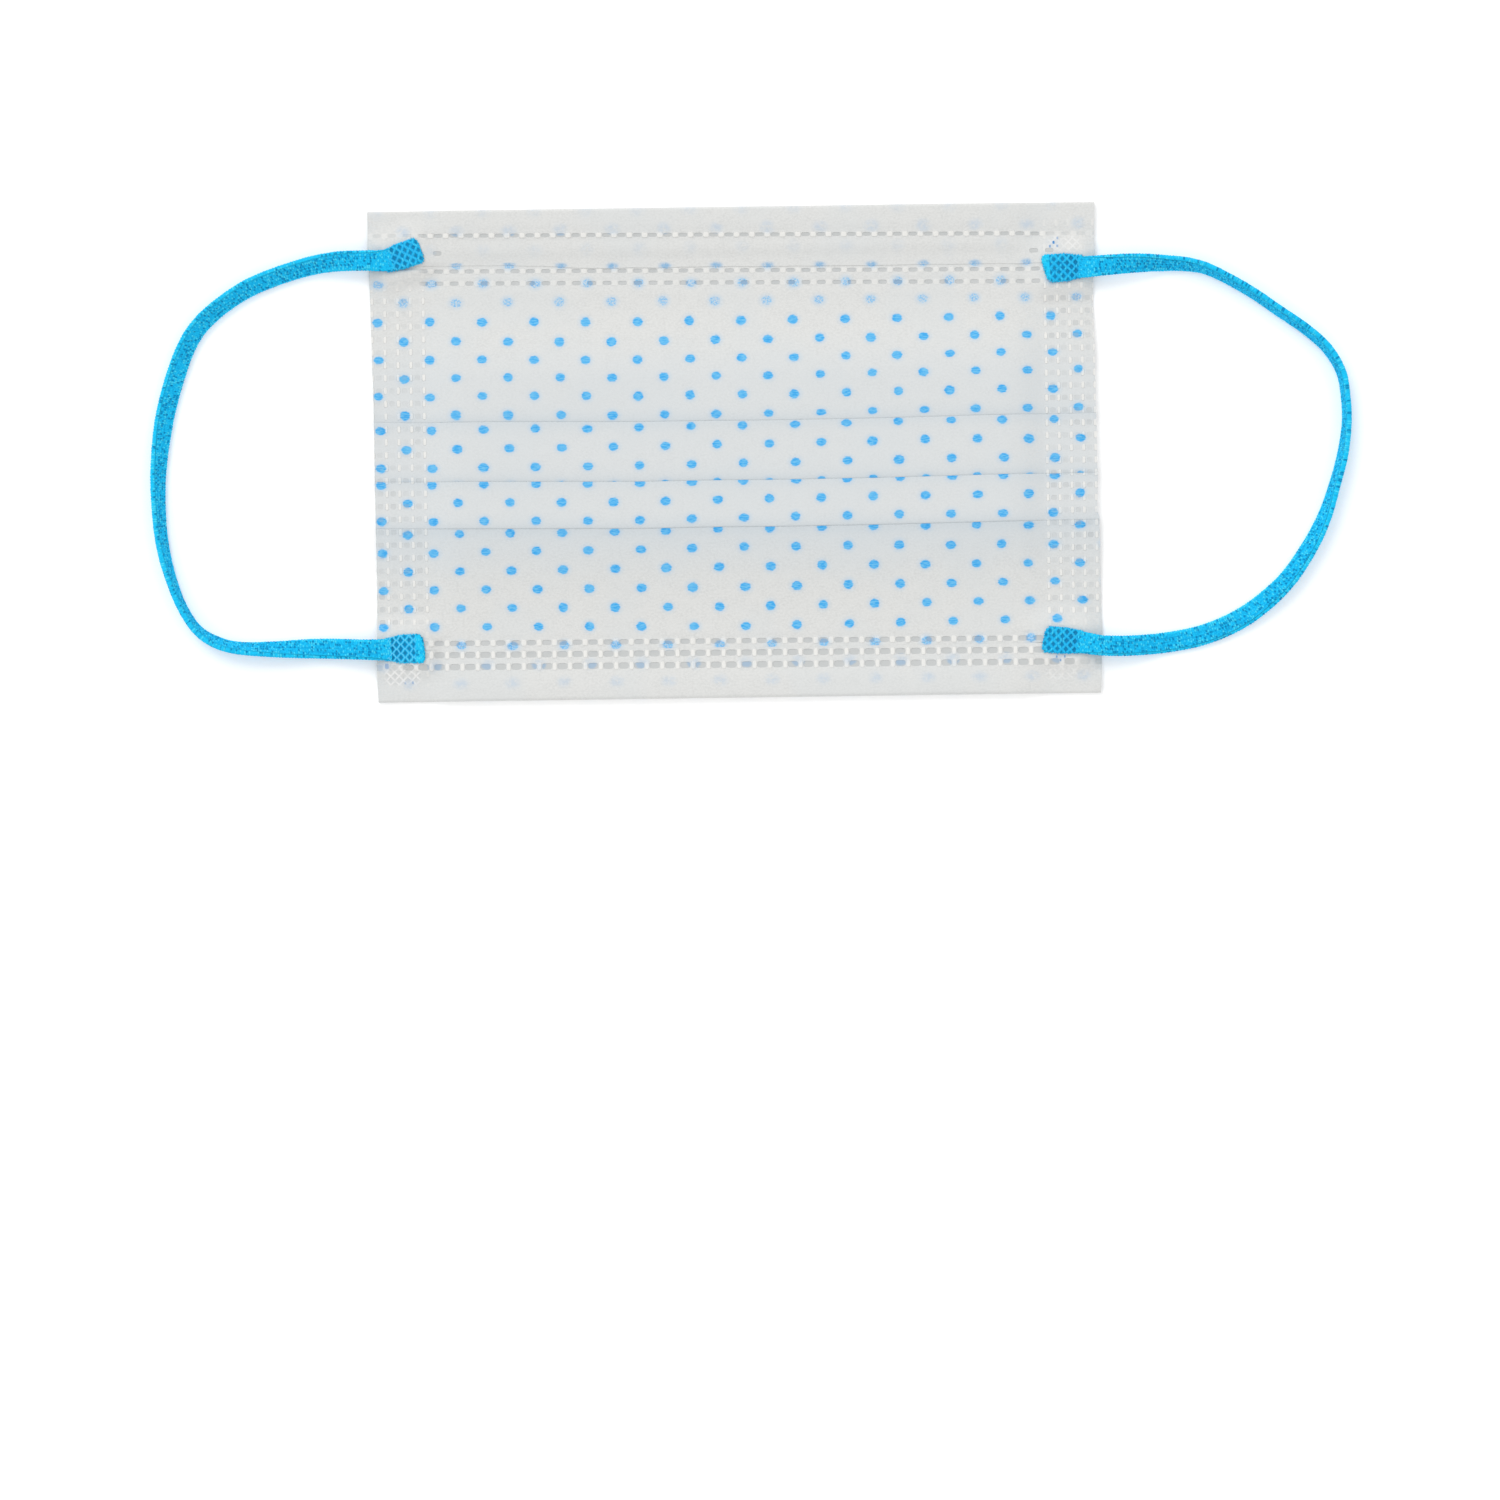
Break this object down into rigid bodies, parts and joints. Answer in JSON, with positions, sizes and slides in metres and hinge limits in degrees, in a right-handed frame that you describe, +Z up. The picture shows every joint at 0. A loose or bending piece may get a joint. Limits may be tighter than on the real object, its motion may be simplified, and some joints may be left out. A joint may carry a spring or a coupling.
{
  "type": "surgical face mask",
  "caption": "Pleated disposable face mask with a dotted outer side, turned hems and flat elastic ear loops, lying flat.",
  "frame": {"origin": "on the surface that the mask lies on, under the middle of the pleated panel", "axes": "+X along the panel's length from ear to ear, +Y towards the nose edge, +Z up, out of the printed side"},
  "size_m": [0.2404, 0.0976, 0.0042],
  "materials": {
    "printed_fabric": "matt off-white nonwoven printed with small sky-blue dots",
    "white_fabric": "matt white nonwoven",
    "blue_elastic": "fine knitted elastic, bright blue",
    "pressed_elastic": "elastic pressed flat by welding, with a diamond pattern"
  },
  "bodies": {
    "root": {"pleated_panel": "printed_fabric", "top_hem": "white_fabric", "bottom_hem": "white_fabric", "ear_loop_left": "blue_elastic", "ear_loop_right": "blue_elastic", "weld_pad_left_upper": "pressed_elastic", "weld_pad_left_lower": "pressed_elastic", "weld_pad_right_upper": "pressed_elastic", "weld_pad_right_lower": "pressed_elastic"}
  },
  "joints": []
}
